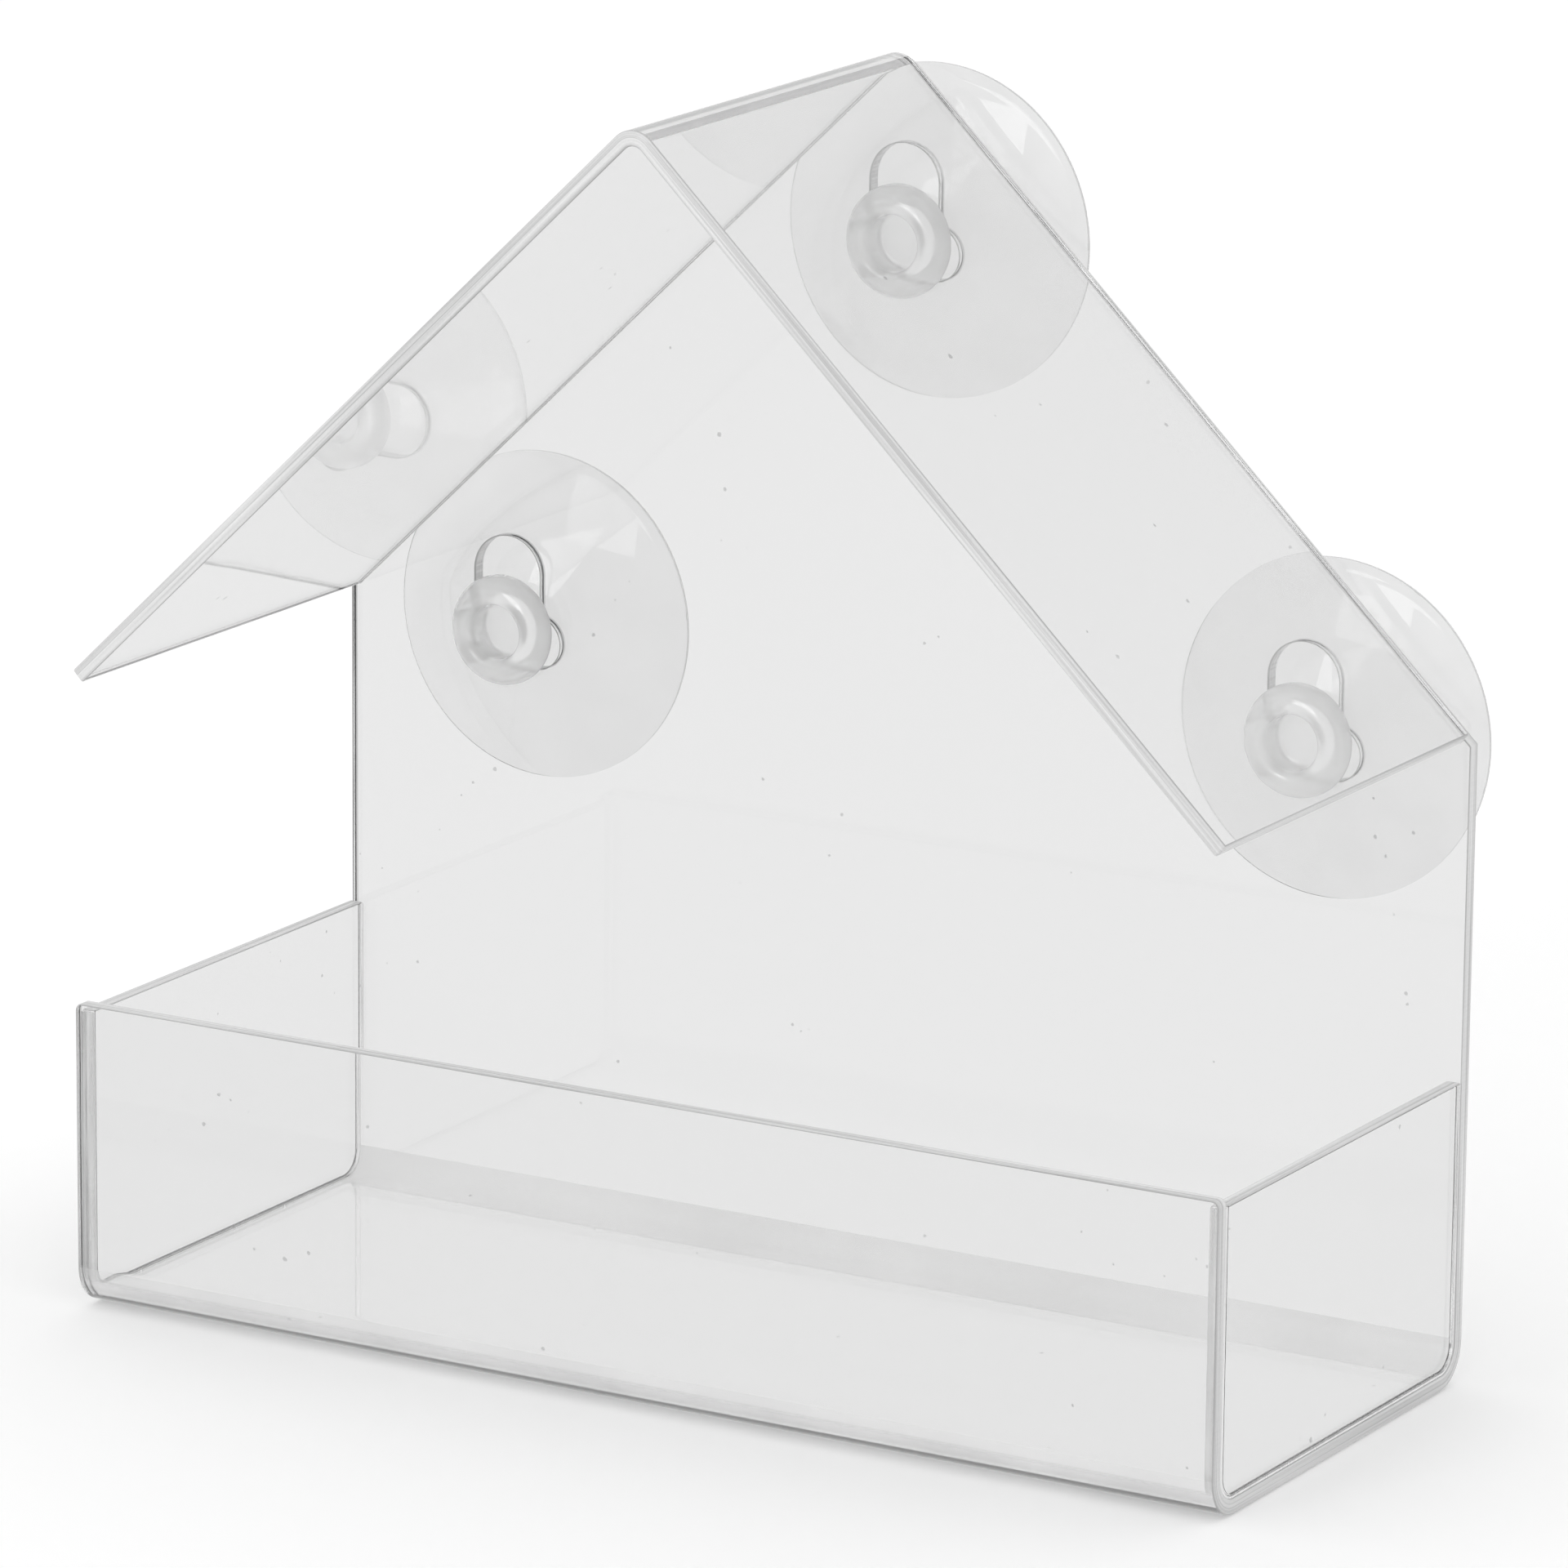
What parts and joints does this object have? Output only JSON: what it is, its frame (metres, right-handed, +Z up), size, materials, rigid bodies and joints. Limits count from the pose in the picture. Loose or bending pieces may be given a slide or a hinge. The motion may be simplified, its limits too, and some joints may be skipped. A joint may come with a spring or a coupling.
{
  "type": "window bird feeder",
  "caption": "House-shaped clear acrylic bird feeder with an open tray and peaked roof; soft suction cups slide in slots of its back panel and hold it on a window.",
  "frame": {"origin": "centre of the flat underside of the floor", "axes": "+Z up, +X to the right as seen by someone who looks at the front wall, +Y from the front wall towards the window pane"},
  "size_m": [0.15, 0.0688, 0.1473],
  "materials": {
    "clear_acrylic": "clear cast sheet with flame polished edges",
    "clear_vinyl": "clear soft moulding, slightly hazy"
  },
  "bodies": {
    "house": {"body_sheet": "clear_acrylic", "left_side_wall": "clear_acrylic", "right_side_wall": "clear_acrylic", "roof": "clear_acrylic"},
    "top_cup": {"suction_cup_top": "clear_vinyl"},
    "left_cup": {"suction_cup_left": "clear_vinyl"},
    "right_cup": {"suction_cup_right": "clear_vinyl"}
  },
  "joints": [
    {"name": "top_cup_slide", "type": "slide", "parent": "house", "child": "top_cup", "axis": [0, 0, 1], "range_m": [0, 0.0068]},
    {"name": "left_cup_slide", "type": "slide", "parent": "house", "child": "left_cup", "axis": [0, 0, 1], "range_m": [0, 0.0068]},
    {"name": "right_cup_slide", "type": "slide", "parent": "house", "child": "right_cup", "axis": [0, 0, 1], "range_m": [0, 0.0068]}
  ]
}
